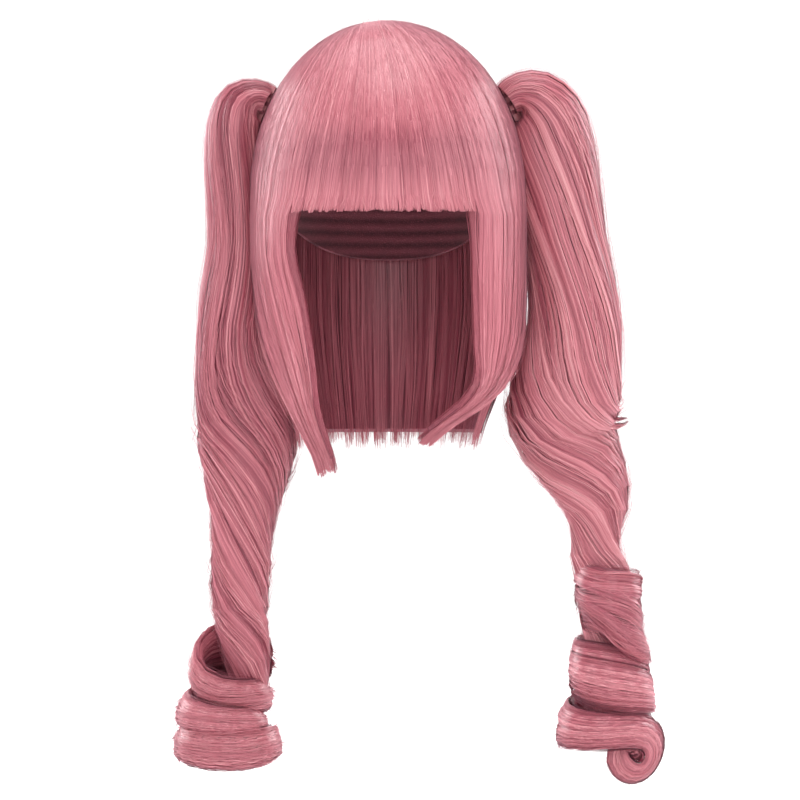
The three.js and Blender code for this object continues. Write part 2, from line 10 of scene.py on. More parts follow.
import bpy
import numpy as np
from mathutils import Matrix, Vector


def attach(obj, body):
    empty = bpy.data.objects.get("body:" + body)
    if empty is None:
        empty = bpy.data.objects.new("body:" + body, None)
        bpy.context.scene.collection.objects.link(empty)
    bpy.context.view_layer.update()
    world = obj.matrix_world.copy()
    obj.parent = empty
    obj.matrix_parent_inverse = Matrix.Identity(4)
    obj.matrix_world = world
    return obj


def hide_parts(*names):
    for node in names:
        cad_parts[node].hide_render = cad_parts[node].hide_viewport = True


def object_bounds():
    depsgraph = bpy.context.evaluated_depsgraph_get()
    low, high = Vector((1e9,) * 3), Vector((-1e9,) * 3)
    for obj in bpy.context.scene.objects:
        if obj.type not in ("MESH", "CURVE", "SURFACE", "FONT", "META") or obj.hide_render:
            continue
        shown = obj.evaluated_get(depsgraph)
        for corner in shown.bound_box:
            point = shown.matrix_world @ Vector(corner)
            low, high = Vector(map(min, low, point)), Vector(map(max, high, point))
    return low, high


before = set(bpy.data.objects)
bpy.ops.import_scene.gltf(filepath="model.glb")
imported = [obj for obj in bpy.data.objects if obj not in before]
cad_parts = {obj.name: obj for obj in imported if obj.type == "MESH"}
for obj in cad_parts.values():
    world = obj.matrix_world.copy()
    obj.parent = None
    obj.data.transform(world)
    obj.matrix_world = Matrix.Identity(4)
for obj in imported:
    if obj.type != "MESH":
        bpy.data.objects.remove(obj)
cad_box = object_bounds()

MM = 0.001

# Sizes that the CAD part has too
HEAD_WIDTH = 152
HEAD_LENGTH = 190
HEAD_RISE = 100
ROUNDNESS = 2.08
CAP_WALL = 1.6
SEAT_GAP = 1.2
SIDE_LOFT = 19.4
FRINGE_LOFT = 11.4
BACK_LOFT = 19.4
CROWN_LOFT = 12.2
WIDEST_DROP = 12
FRINGE_DROP = 11
BACK_DROP = 171
LEFT_LOCK_DROP = 169
RIGHT_LOCK_DROP = 189
LEFT_PARTING = 40
RIGHT_PARTING = 44
EAR = 90
WHORL = 0.2
PIGTAIL_LENGTH = 485
PIGTAIL_WIDTH = 80
PIGTAIL_DEPTH = 62
ROOT_AZIMUTH = 93
ROOT_POLAR = 0.65
CURL_RADIUS = 32
CURL_BAND = 25
CURL_LAYER = 8
CLIP_LENGTH = 26
CLIP_WIDTH = 24
CLIP_HEIGHT = 7
CLIP_WALL = 2

# Sizes of the hair itself
STRAND = 0.5  # width of a ribbon that stands for a few fibres
FLYAWAY = 0.3  # width of a loose hair
WHORL_ASIDE = 14  # the hair grows out of a point this far to the wearer's right of the crown
FAN = 0.36  # how far the front hair leans outwards on its way down, as a share of its place
FAN_TOP = 0.45  # polar share at which it starts to lean
FRINGE_HEM = 0.12  # the fringe's fall below its widest level, counted as a polar share
FAN_STRETCH = 1 + FRINGE_HEM - FAN_TOP
BROW = 0.86  # polar share at which the hair bends over the brow
BROW_SHADE_HALF_WIDTH = 0.09  # half width of the painted shade there, a darker band where the hair turns down away from the top light, as a polar share
CROWN_POLAR = 0.004  # where round grids start, since all their columns meet at the crown
STEP = 0.01  # small step in a share, to find which way the hair runs


def table(names, *rows):
    """A table's columns by name, from its rows."""
    return dict(zip(names.split(), np.array(rows, float).T))


CAP_RIM = table(
    "polar",
    (0.74,),
    (0.86,),
    (1.06,),
    (1.2,),
    (1.32,),
)

# Hair below its widest level. from and to are degrees from the face's middle, wide and deep are
# shares of the width and depth at the widest level, and layer is a share of the thickness there.
FRINGE_FALL = table(
    "from to wide deep layer",
    (-RIGHT_PARTING, LEFT_PARTING, 1, 1, 1),
    (-RIGHT_PARTING, LEFT_PARTING, 0.99, 0.985, 0.55),
)
LEFT_LOCK_FALL = table(
    "from to wide deep layer",
    (LEFT_PARTING, EAR, 1, 1, 1),
    (40, 89, 1, 0.98, 0.55),
    (40, 86, 1, 0.95, 0.45),
    (41, 79, 0.99, 0.9, 0.4),
    (41, 56, 0.95, 0.82, 0.35),
    (15, 23, 0.82, 0.68, 0.25),
)
RIGHT_LOCK_FALL = table(
    "from to wide deep layer",
    (-EAR, -RIGHT_PARTING, 1, 1, 1),
    (-88, -46, 1, 0.98, 0.55),
    (-82, -40, 0.97, 0.94, 0.45),
    (-67, -36.5, 0.93, 0.88, 0.4),
    (-50, -35, 0.88, 0.8, 0.35),
    (-36, -26, 0.84, 0.7, 0.25),
)
BACK_FALL = table(
    "from to wide deep layer",
    (EAR, 360 - EAR, 1, 1, 1),
    (90, 270, 0.99, 0.99, 0.8),
    (88, 272, 0.93, 0.93, 0.6),
    (84, 276, 0.81, 0.82, 0.45),
    (78, 282, 0.66, 0.68, 0.3),
)

# A pigtail from its root down. drop is a share of its length, out and wide of its width, back and
# deep of its depth, and turn is how far its locks have wound round it, in degrees.
LEFT_BODY = table(
    "drop out back wide deep turn",
    (0, -0.06, 0, 0.25, 0.56, 0),
    (-0.016, 0.09, 0.02, 0.35, 0.68, 0),
    (-0.01, 0.245, 0.04, 0.52, 0.8, 0),
    (0.018, 0.35, 0.06, 0.68, 0.89, 2),
    (0.065, 0.39, 0.08, 0.77, 0.95, 5),
    (0.13, 0.455, 0.1, 0.75, 1, 8),
    (0.195, 0.515, 0.12, 0.73, 1, 10),
    (0.26, 0.58, 0.15, 0.75, 1, 5),
    (0.325, 0.6, 0.2, 0.82, 1, -10),
    (0.39, 0.54, 0.28, 0.94, 1, -35),
    (0.44, 0.51, 0.36, 0.97, 0.95, -65),
    (0.485, 0.56, 0.45, 0.81, 0.88, -100),
    (0.535, 0.72, 0.5, 0.7, 0.78, -135),
    (0.58, 0.805, 0.52, 0.58, 0.66, -170),
    (0.62, 0.8, 0.52, 0.42, 0.52, -205),
    (0.657, 0.81, 0.5, 0.44, 0.54, -240),
    (0.7, 0.89, 0.48, 0.46, 0.56, -275),
    (0.75, 0.92, 0.46, 0.46, 0.56, -310),
    (0.8, 0.93, 0.45, 0.46, 0.56, -345),
    (0.85, 0.92, 0.45, 0.42, 0.52, -385),
    (0.895, 0.9, 0.45, 0.34, 0.42, -420),
    (0.918, 0.89, 0.45, 0.14, 0.18, -440),
)
RIGHT_BODY = table(
    "drop out back wide deep turn",
    (0, -0.06, 0, 0.25, 0.56, 0),
    (-0.01, 0.09, 0.02, 0.32, 0.68, 0),
    (0, 0.23, 0.03, 0.44, 0.78, 0),
    (0.03, 0.305, 0.04, 0.47, 0.86, 3),
    (0.073, 0.325, 0.05, 0.48, 0.92, 8),
    (0.138, 0.305, 0.05, 0.49, 0.96, 15),
    (0.203, 0.29, 0.05, 0.51, 0.98, 25),
    (0.268, 0.305, 0.04, 0.6, 1, 38),
    (0.325, 0.305, 0.02, 0.65, 1, 48),
    (0.383, 0.26, -0.02, 0.77, 1, 50),
    (0.434, 0.21, -0.06, 0.86, 0.96, 38),
    (0.477, 0.185, -0.08, 0.89, 0.9, 15),
    (0.52, 0.185, -0.1, 0.82, 0.84, -15),
    (0.564, 0.21, -0.1, 0.67, 0.76, -50),
    (0.614, 0.235, -0.08, 0.54, 0.66, -90),
    (0.672, 0.255, -0.06, 0.53, 0.62, -140),
    (0.73, 0.26, -0.05, 0.5, 0.6, -190),
    (0.775, 0.22, -0.06, 0.44, 0.54, -240),
    (0.82, 0.18, -0.02, 0.36, 0.46, -280),
    (0.855, 0.2, 0.06, 0.34, 0.44, -310),
    (0.885, 0.27, 0.06, 0.3, 0.38, -330),
    (0.905, 0.3, 0.04, 0.12, 0.16, -345),
)

# A curl's band of hair as it winds down. drop, out and back place the middle of its turns, turn is
# the way round from the wearer's left, radius and high are shares of the curl's radius and band,
# tilt lowers the front of the turn, and lean swings the band's lower edge outwards, in degrees.
LEFT_CURL = table(
    "drop out back turn radius tilt high lean",
    (0.795, 0.92, 0.45, 450, 0.66, 0, 1.1, 0),
    (0.81, 0.94, 0.45, 540, 0.8, 0, 1.4, 4),
    (0.828, 0.94, 0.45, 630, 0.82, 0, 1.75, 8),
    (0.847, 0.93, 0.45, 720, 0.8, 0, 1.45, 12),
    (0.87, 0.89, 0.45, 810, 0.8, 0, 1.1, 12),
    (0.895, 0.87, 0.44, 900, 0.88, 0, 1.25, 14),
    (0.912, 0.91, 0.43, 990, 0.88, -8, 1.05, 4),
    (0.93, 1.08, 0.4, 1080, 0.57, -48, 1, -32),
    (0.942, 1.15, 0.34, 1170, 0.43, -72, 0.95, -55),
    (0.943, 1.16, 0.3, 1260, 0.42, -80, 0.85, -62),
    (0.943, 1.15, 0.28, 1320, 0.4, -85, 0.45, -62),
)
LEFT_UPPER_CURL = table(
    "drop out back turn radius tilt high lean",
    (0.685, 0.87, 0.47, 90, 0.5, 0, 1.2, 0),
    (0.695, 0.93, 0.46, 180, 0.64, 0, 1.5, 0),
    (0.718, 0.935, 0.45, 270, 0.72, 0, 2.2, 2),
    (0.752, 0.885, 0.45, 360, 0.67, 0, 2.8, 16),
    (0.78, 0.89, 0.45, 450, 0.62, 0, 2, 8),
)
LEFT_FLICK = table(
    "drop out back turn radius tilt high lean",
    (0.395, 0.92, 0.3, 122, 1, -90, 0.5, 0),
    (0.395, 0.92, 0.29, 104, 1, -90, 0.5, 0),
    (0.395, 0.92, 0.28, 85, 1, -90, 0.4, 0),
    (0.395, 0.92, 0.27, 66, 1, -90, 0.15, 0),
)
# Hair that has slipped into the hollow of the left curl's last turn
LEFT_HEART = table(
    "drop out back turn radius tilt high lean",
    (0.935, 1.11, 0.3, 1080, 0.1, -72, 0.7, -55),
    (0.936, 1.11, 0.3, 1170, 0.08, -75, 0.7, -58),
    (0.936, 1.11, 0.3, 1260, 0.06, -80, 0.6, -60),
)
RIGHT_CURL = table(
    "drop out back turn radius tilt high lean",
    (0.8, 0.28, -0.02, 0, 0.66, 20, 1.1, 0),
    (0.815, 0.36, 0, 90, 0.68, 34, 1.7, 0),
    (0.815, 0.38, 0, 180, 0.66, 36, 1.4, 0),
    (0.824, 0.38, 0, 270, 0.8, 30, 1, 6),
    (0.852, 0.36, 0, 360, 0.82, 14, 0.8, 12),
    (0.862, 0.36, 0, 450, 0.86, 8, 0.8, 12),
    (0.872, 0.36, 0, 540, 1, 5, 0.9, 14),
    (0.881, 0.34, 0, 630, 0.96, 4, 0.75, 14),
    (0.889, 0.32, 0, 720, 0.6, 4, 0.6, 10),
    (0.9, 0.34, 0, 810, 0.8, 4, 0.85, 8),
    (0.915, 0.36, 0, 900, 1.04, 3, 1.05, 8),
    (0.924, 0.33, 0, 990, 1.04, 3, 1.15, 6),
    (0.917, 0.32, 0, 1080, 0.96, 3, 1, 4),
    (0.922, 0.32, 0, 1150, 0.9, 0, 0.5, 0),
)


def grown(form, by):
    """A form that is larger all round, with its widest level kept."""
    return {k: v + (by if k != "level" else 0) for k, v in form.items()}


HEAD = {
    "side": HEAD_WIDTH / 2,
    "front": HEAD_LENGTH / 2,
    "back": HEAD_LENGTH / 2,
    "crown": 0,
    "level": -HEAD_RISE,
}
CAP = grown(HEAD, CAP_WALL)
SEAT = grown(HEAD, CAP_WALL + SEAT_GAP)
HAIR = {
    "side": CAP["side"] + SIDE_LOFT,
    "front": CAP["front"] + FRINGE_LOFT,
    "back": CAP["back"] + BACK_LOFT,
    "crown": CAP["crown"] + CROWN_LOFT,
    "level": HEAD["level"] - WIDEST_DROP,
}

# Panels of hair on the head. fall and drop say where the hair goes below its widest level, and
# steps is how many points a strand has there. round is how high a lock's middle stands, gather how
# far its strands close up towards its tip, ragged how uneven the hem is, and sway how far locks
# wander sideways. inside and rim are the shares of the strands on the panel's inside and down its
# side edges, tone is how light the hair is painted, lower on some panels than others as painted
# shade, and band how much painted shade darkens it over the brow.
PANELS = {
    "fringe": dict(
        fall=FRINGE_FALL, drop=FRINGE_DROP, strands=2750, locks=52, steps=4, round=0.12,
        gather=0.25, ragged=8, inside=0.15, rim=0, sway=0.9, tone=0.49, band=0.27,
    ),
    "side_lock_left": dict(
        fall=LEFT_LOCK_FALL, drop=LEFT_LOCK_DROP, strands=1350, locks=10, steps=14, round=0.5,
        gather=0.35, ragged=12, inside=0.15, rim=0.1, sway=1, tone=0.44, band=0.12,
    ),
    "side_lock_right": dict(
        fall=RIGHT_LOCK_FALL, drop=RIGHT_LOCK_DROP, strands=1350, locks=10, steps=14, round=0.5,
        gather=0.35, ragged=14, inside=0.15, rim=0.1, sway=1, tone=0.44, band=0.12,
    ),
    "back_hair": dict(
        fall=BACK_FALL, drop=BACK_DROP, strands=3100, locks=42, steps=11, round=0.7,
        gather=0.3, ragged=20, inside=0.45, rim=0.04, sway=1, tone=0.46, band=0,
    ),
}
DOME_STEPS = 11  # points of a strand down to its widest level


def along(rows, share):
    """Every column of a table at shares of the way through its rows, on a smooth curve."""
    names = list(rows)
    last = len(rows[names[0]]) - 1
    place = np.clip(share, 0, 1) * last
    start = np.minimum(np.floor(place), last - 1).astype(int)
    part = place - start
    found = {}
    for name in names:
        column = np.array(rows[name], float)
        before, near, far, after = (
            column[np.clip(start + k, 0, last)] for k in (-1, 0, 1, 2)
        )
        leaving = (far - before) / 2
        arriving = (after - near) / 2
        found[name] = (
            (2 * part**3 - 3 * part**2 + 1) * near
            + (part**3 - 2 * part**2 + part) * leaving
            + (3 * part**2 - 2 * part**3) * far
            + (part**3 - part**2) * arriving
        )
    return found


def unit(vectors):
    return vectors / np.maximum(np.linalg.norm(vectors, axis=-1, keepdims=True), 1e-9)


def ease(low, high, values):
    part = np.clip((values - low) / (high - low), 0, 1)
    return part * part * (3 - 2 * part)


def egg(form, azimuth, polar, aside=0.0):
    """Points of an egg-shaped form. With aside, the lines of growth start beside the crown."""
    turn = np.radians(azimuth)
    tilt = np.radians(90 * polar)
    spread = np.sin(tilt) ** (2 / ROUNDNESS)
    shift = np.where(polar < 1, (1 - spread) * -aside / HAIR["side"], 0)
    plan_x = spread * np.sin(turn) + shift
    plan_y = -spread * np.cos(turn)
    reach = np.where(plan_y < 0, form["front"], form["back"])
    wide = np.minimum(np.hypot(plan_x, plan_y), 1)
    dome = (1 - wide**ROUNDNESS) ** (1 / ROUNDNESS)
    below = -(np.abs(np.minimum(np.cos(tilt), 0)) ** (2 / ROUNDNESS))
    height = np.where(polar < 1, dome, below)
    z = form["level"] + (form["crown"] - form["level"]) * height
    return np.stack([form["side"] * plan_x, reach * plan_y, z], -1)


def way_down(top, dome_steps, fall_steps, end=1):
    """Polar shares down the dome and shares of the fall below it, for points down the hair."""
    polar = np.concatenate([np.linspace(top, 1, dome_steps), np.ones(fall_steps)])
    share = np.concatenate([np.zeros(dome_steps), np.linspace(0, end, fall_steps + 1)[1:]])
    return polar, share


def panel_points(panel, across, polar, share, depth, aside=WHORL_ASIDE, fan=FAN):
    """Points in a panel of hair and the way out of it. Across runs round the head, and depth from
    0 on its outside to 1 on its inside."""
    row = along(panel["fall"], share)
    azimuth = row["from"] + (row["to"] - row["from"]) * across
    below = FRINGE_HEM * np.minimum(share * panel["drop"] / FRINGE_DROP, 1)
    fanned = np.clip((polar + below - FAN_TOP) / FAN_STRETCH, 0, 1) ** 1.5
    front = np.clip(np.cos(np.radians(azimuth)), 0, 1)
    azimuth = azimuth * (1 - fan * front * (1 - fanned))
    rim = egg(HAIR, azimuth, polar, aside)
    layer = rim - egg(SEAT, azimuth, polar, aside)
    outer = rim * np.stack([row["wide"], row["deep"], np.ones_like(row["wide"])], -1)
    outer[..., 2] -= panel["drop"] * share
    points = outer - layer * (row["layer"] * depth)[..., None]
    return points, unit(layer)


def surface_points(panel, across, polar, share, depth):
    """Points in a panel, as above, and the way out at right angles to the hair's surface."""
    points, outward = panel_points(panel, across, polar, share, depth)
    beyond, _ = panel_points(panel, across + STEP, polar, share, depth)
    upright = unit(np.cross(np.gradient(points, axis=1), beyond - points))
    return points, upright * np.sign(np.sum(upright * outward, -1, keepdims=True))


# Randomness of the hair, always from a seeded generator
WAVE = 0.6  # usual height of each of the waves that are added up
WANDER_WAVES = (0.7, 1.6, 3.1)  # waves down a strand
GRAIN_WAVES = (1.1, 3.3, 7.1)  # half waves from a lock's middle to its edge


def wander(rng, count, share):
    """Smooth lines from about -1 to 1, one for each strand."""
    lines = 0
    for wave in WANDER_WAVES:
        phase = rng.uniform(0, 2 * math.pi, (count, 1))
        size = rng.normal(0, WAVE, (count, 1)) / math.sqrt(wave + 0.3)
        lines = lines + size * np.sin(2 * math.pi * wave * share + phase)
    return lines


def grain(rng, lock, beside):
    """A smooth value across each lock, so that strands side by side are alike."""
    value = 0
    for wave in GRAIN_WAVES:
        phase = rng.uniform(0, 2 * math.pi, lock.max() + 1)[lock][:, None]
        size = rng.normal(0, WAVE, lock.max() + 1)[lock][:, None]
        value = value + size * np.sin(math.pi * wave * beside + phase)
    return value


# Kinds of hair. wide is how wide its ribbons are, in strands, thin how much they thin at the tip,
# and thin_from where that starts. by_strand, by_lock and grain are how much its tone differs from
# strand to strand, from lock to lock and across each lock. under and edge are painted shade: how
# much darker it is painted beneath the locks and at a lock's edges, where shade falls.
PANEL_HAIR = dict(
    wide=1, thin=0.75, thin_from=0.88,
    by_strand=0.05, by_lock=0.02, grain=0.06, under=0.12, edge=0.1,
)
BODY_HAIR = dict(
    wide=1.24, thin=0.7, thin_from=0.93,
    by_strand=0.06, by_lock=0.05, grain=0.14, under=0.18, edge=0.11,
)
CURL_HAIR = dict(
    wide=1.15, thin=0.75, thin_from=0.9,
    by_strand=0.06, by_lock=0.04, grain=0.09, under=0.16, edge=0.1,
)
WIDTHS = (0.6, 1.4)  # thinnest and widest ribbon, as shares of its kind's
LOOSE_FROM = 0.2  # hair looser than this is made of flyaways


def strand_widths(rng, kind, count, line, loose):
    """Widths down each strand."""
    size = FLYAWAY if loose > LOOSE_FROM else STRAND * kind["wide"]
    thinning = 1 - kind["thin"] * ease(kind["thin_from"], 1, line)
    return size * rng.uniform(*WIDTHS, (count, 1)) * thinning


def strand_tones(rng, kind, tone, lock, locks, beside):
    """A tone for each strand."""
    tone = tone + rng.normal(0, kind["by_strand"], (len(lock), 1))
    tone = tone + rng.normal(0, kind["by_lock"], locks)[lock][:, None]
    return tone + kind["grain"] * grain(rng, lock, beside)


# Parts of a mesh: vertices, quads, the way along and across the hair, and its tone
STREAKS = 900  # streaks of colour over one unit across the hair
STREAK_START = 500  # strands start anywhere in this length of the streaks
STREAK_SPAN = 0.004  # how far across the streaks one strand reaches


def ribbons(points, outward, width, tone, rng, roll=0.13):
    """A flat ribbon of hair along each row of points, rolled a little about its line."""
    count, steps = points.shape[:2]
    forward = unit(np.gradient(points, axis=1))
    side = unit(np.cross(forward, outward))
    lift = np.cross(side, forward)
    angle = rng.normal(0, roll, (count, 1, 1))
    half = (side * np.cos(angle) + lift * np.sin(angle)) * (width / 2)[..., None]
    vertices = np.stack([points - half, points + half], 2)
    index = np.arange(count * steps * 2).reshape(count, steps, 2)
    quads = np.stack(
        [index[:, :-1, 0], index[:, :-1, 1], index[:, 1:, 1], index[:, 1:, 0]], -1
    )
    length = np.linalg.norm(np.diff(points, axis=1), axis=2).cumsum(1)
    length = np.concatenate([np.zeros((count, 1)), length], 1)
    length = length + rng.uniform(0, STREAK_START, (count, 1))
    lane = rng.uniform(0, 1, (count, 1, 1)) + np.array([0, STREAK_SPAN])
    flow = np.stack(np.broadcast_arrays(length[..., None] * MM, lane), -1)
    shade = np.broadcast_to(np.broadcast_to(tone, (count, steps))[..., None], (count, steps, 2))
    shade = np.stack([shade, np.ones_like(shade)], -1)
    return vertices.reshape(-1, 3), quads.reshape(-1, 4), flow.reshape(-1, 2), shade.reshape(-1, 2)


def skin(points, tone, closed=False, flip=False):
    """A sheet over a grid of points, with the hair running down its rows."""
    rows, columns = points.shape[:2]
    index = np.arange(rows * columns).reshape(rows, columns)
    if closed:
        index = np.concatenate([index, index[:, :1]], 1)
    corners = [index[:-1, :-1], index[1:, :-1], index[1:, 1:], index[:-1, 1:]]
    quads = np.stack(corners[::-1] if flip else corners, -1).reshape(-1, 4)
    down = np.linalg.norm(np.diff(points, axis=0), axis=2).cumsum(0)
    down = np.concatenate([np.zeros((1, columns)), down]) * MM
    middle = points[rows // 2]
    over = np.linalg.norm(np.diff(middle, axis=0), axis=1).cumsum()
    over = np.broadcast_to(np.concatenate([[0], over]), (rows, columns)) / STREAKS
    flow = np.stack([down, over], -1).reshape(-1, 2)
    shade = np.stack([np.full((rows, columns), tone), np.ones((rows, columns))], -1)
    return points.reshape(-1, 3), quads, flow, shade.reshape(-1, 2)


def joined(parts):
    vertices, quads, flow, shade = zip(*parts)
    starts = np.cumsum([0] + [len(v) for v in vertices[:-1]])
    quads = [q + s for q, s in zip(quads, starts)]
    return tuple(np.concatenate(x) for x in (vertices, quads, flow, shade))


def make_piece(name, groups, replaces):
    """One mesh of several materials: groups pairs a material with the parts that have it."""
    parts = [joined(p) for _, p in groups]
    vertices, quads, flow, shade = joined(parts)
    mesh = bpy.data.meshes.new(name)
    mesh.vertices.add(len(vertices))
    mesh.vertices.foreach_set("co", (vertices * MM).astype(np.float32).ravel())
    mesh.loops.add(quads.size)
    mesh.loops.foreach_set("vertex_index", quads.astype(np.int32).ravel())
    mesh.polygons.add(len(quads))
    mesh.polygons.foreach_set("loop_start", np.arange(0, quads.size, 4, dtype=np.int32))
    material_of = np.concatenate([np.full(len(p[1]), k, np.int32) for k, p in enumerate(parts)])
    mesh.polygons.foreach_set("material_index", material_of)
    for label, values in (("flow", flow), ("shade", shade)):
        layer = mesh.uv_layers.new(name=label)
        layer.uv.foreach_set("vector", values[quads.ravel()].astype(np.float32).ravel())
    for material, _ in groups:
        mesh.materials.append(material)
    mesh.polygons.foreach_set("use_smooth", np.ones(len(quads), bool))
    mesh.update(calc_edges=True)
    piece = bpy.data.objects.new(name, mesh)
    bpy.context.scene.collection.objects.link(piece)
    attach(piece, "root")
    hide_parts(replaces)
    return piece


# Hair on the head. Places across a panel are in widths of a lock, and depths are shares of its
# thickness, from the outside in.
LOCK_REACH = 0.62  # how far from a lock's middle its strands start, so that locks overlap
LOCK_SWAY = 0.2
STRAND_SWAY = 0.07
LOOSE_SWAY = 4
LOCK_CUT = 0.45  # how unevenly locks end, as a share of how ragged the hem is
STRAND_CUT = 0.85
HEM_PAST = 0.3  # how far the longest strands reach past the hem, as the same share
INSIDE_DEPTHS = (0.75, 1.05)  # depths of the strands on its inside
RIM_DEPTHS = (0.12, 0.85)  # depths of the strands down a panel's side edges
RIM_ACROSS = 0.004  # how near its edges they lie, as a share of the panel's width
RIM_SHADE = 0.08  # how much darker they are
GATHER_FROM = 0.55  # where a lock's strands start to close up
STRAND_RISE = 0.25  # how unevenly strands of a lock stand, in millimetres
GRAIN_RISE = 0.15
LOOSE_RISE = 3
CORE_DEPTHS = (0.12, 0.72)
CORE_COLUMNS = 48
CORE_STEPS = (14, 26)  # rows of the underlayer on the dome and below it
CORE_END = 0.95  # where the underlayer ends, a little short of the hem
LOOSE_PART = 16  # there is one loose strand to this many others


def panel_strands(panel, rng, count, loose=0.0):
    """Strands of a panel, from the whorl to the hem. Loose ones stray and are finer."""
    locks = panel["locks"]
    polar, share = way_down(0, DOME_STEPS, panel["steps"])
    line = np.linspace(0, 1, len(polar))
    start = rng.uniform(0.01, WHORL, (count, 1))
    polar = start + (1 - start) * polar
    lock = rng.integers(0, locks, count)
    ragged = panel["ragged"] / (panel["drop"] + 2 * panel["ragged"])
    lock_cut = rng.uniform(0, LOCK_CUT, locks)[lock]
    cut = (lock_cut + STRAND_CUT * rng.random(count) ** 1.6)[:, None] * ragged
    share = share * (1 + HEM_PAST * ragged - cut)
    beside = rng.uniform(-LOCK_REACH, LOCK_REACH, (count, 1))
    gather = 1 - panel["gather"] * ease(GATHER_FROM, 1, line)
    sway = wander(rng, locks, line)[lock] * LOCK_SWAY + wander(rng, count, line) * STRAND_SWAY
    stray = sway * panel["sway"] * (1 + LOOSE_SWAY * loose)
    across = (lock[:, None] + 0.5 + beside * gather + stray * ease(0, 0.3, line)) / locks
    across = np.clip(across, 0, 1) if not loose else across
    within = rng.random((count, 1)) < panel["inside"]
    depth = np.where(within, rng.uniform(*INSIDE_DEPTHS, (count, 1)), 0.0)
    rim = (rng.random((count, 1)) < panel["rim"]) & (loose == 0)
    last = rng.random((count, 1)) < 0.5
    across = np.where(rim, np.where(last, 1 - RIM_ACROSS, RIM_ACROSS), across)
    depth = np.where(rim, rng.uniform(*RIM_DEPTHS, (count, 1)), depth)
    depth = np.broadcast_to(depth, across.shape)
    polar, share = np.broadcast_arrays(polar, share)
    points, outward = surface_points(panel, across, polar, share, depth)
    edgeways = np.cross(outward, (0, 0, -1)) * np.where(last, 1, -1)[..., None]
    outward = np.where(rim[..., None], edgeways, outward)
    # A lock's middle stands up and its edges sink, more so further down
    hump = panel["round"] * (0.6 - 2.6 * beside**2 + rng.normal(0, 0.7, locks)[lock][:, None])
    rise = hump * (0.3 + 0.7 * ease(0.4, 0.8, line))
    rise = rise + rng.uniform(-STRAND_RISE, STRAND_RISE, (count, 1))
    rise = rise + GRAIN_RISE * grain(rng, lock, beside)
    rise = rise + loose * LOOSE_RISE * wander(rng, count, line) ** 2
    points = points + outward * np.where(within | rim, 0, rise)[..., None]
    width = strand_widths(rng, PANEL_HAIR, count, line, loose)
    tone = strand_tones(rng, PANEL_HAIR, panel["tone"], lock, locks, beside)
    # Painted shade: strands on the panel's inside, down its side edges, over the brow and at each
    # lock's edges are painted darker
    tone = tone - PANEL_HAIR["under"] * within - RIM_SHADE * rim
    tone = tone - panel["band"] * np.exp(-(((polar - BROW) / BROW_SHADE_HALF_WIDTH) ** 2))
    edge = ease(0.4, LOCK_REACH, np.abs(beside)) * ease(0.3, 0.8, line)
    tone = tone - panel["round"] * PANEL_HAIR["edge"] * edge
    return ribbons(points, outward, width, tone, rng, roll=0.06)


def panel_core(panel):
    """The closed underlayer of a panel."""
    polar, share = way_down(WHORL, *CORE_STEPS, CORE_END)
    across = np.linspace(0.01, 0.99, CORE_COLUMNS)[None, :]
    across, polar, share = np.broadcast_arrays(across, polar[:, None], share[:, None])
    outer, inner = (
        panel_points(panel, across, polar, share, np.full(across.shape, depth), 0, 0)[0]
        for depth in CORE_DEPTHS
    )
    edges = (
        np.stack([inner[:, 0], outer[:, 0]], 1),
        np.stack([outer[:, -1], inner[:, -1]], 1),
        np.stack([outer[-1], inner[-1]], 0),
        np.stack([inner[0], outer[0]], 0),
    )
    # Painted shade: the underlayer's inner side is darker than its outer side, and its edges lie
    # between
    return [skin(outer, 0.3), skin(inner, 0.2, flip=True)] + [skin(edge, 0.25) for edge in edges]


def make_panel(name, seed):
    panel = PANELS[name]
    rng = np.random.default_rng(seed)
    strands = [
        panel_strands(panel, rng, panel["strands"]),
        panel_strands(panel, rng, panel["strands"] // LOOSE_PART, loose=0.5),
    ]
    groups = [(HAIR_FINISH, strands), (PAINTED_SHADE_UNDER_FINISH, panel_core(panel))]
    make_piece(name + "_hair", groups, name)


WHORL_STRANDS = 420
WHORL_TWIST = 25  # degrees that its strands turn on their way out
WHORL_SINK = 1.5  # how far its underlayer lies below its strands


def make_whorl(seed):
    """The disk at the crown, where all the hair starts."""
    rng = np.random.default_rng(seed)
    count = WHORL_STRANDS
    line = np.linspace(0, 1, 7)
    azimuth = rng.uniform(0, 360, (count, 1)) + WHORL_TWIST * line**2
    polar = rng.uniform(0.005, 0.05, (count, 1)) + rng.uniform(0.12, 0.2, (count, 1)) * line
    rim = egg(HAIR, azimuth, polar, WHORL_ASIDE)
    outward = unit(rim - egg(SEAT, azimuth, polar, WHORL_ASIDE))
    points = rim + outward * rng.uniform(-0.6, 0.7, (count, 1, 1))
    width = STRAND * rng.uniform(0.6, 1.2, (count, 1)) * (1 - 0.6 * line)
    tone = 0.5 + rng.normal(0, 0.1, (count, 1))
    strands = [ribbons(points, outward, width, tone, rng)]
    turn = np.linspace(0, 360, 64, endpoint=False)
    polar = CROWN_POLAR + 0.19 * np.linspace(0, 1, 8)[:, None]
    turn, polar = np.broadcast_arrays(turn, polar)
    grid = egg(HAIR, turn, polar) - np.array([0, 0, WHORL_SINK])
    under = egg(SEAT, turn, polar)
    # Painted shade: the underlayer beneath the whorl is darker on its inner side
    core = [skin(grid, 0.35, closed=True), skin(under, 0.3, closed=True, flip=True)]
    core.append(skin(np.stack([grid[-1], under[-1]]), 0.3, closed=True))
    groups = [(HAIR_FINISH, strands), (PAINTED_SHADE_UNDER_FINISH, core)]
    make_piece("crown_whorl_hair", groups, "crown_whorl")


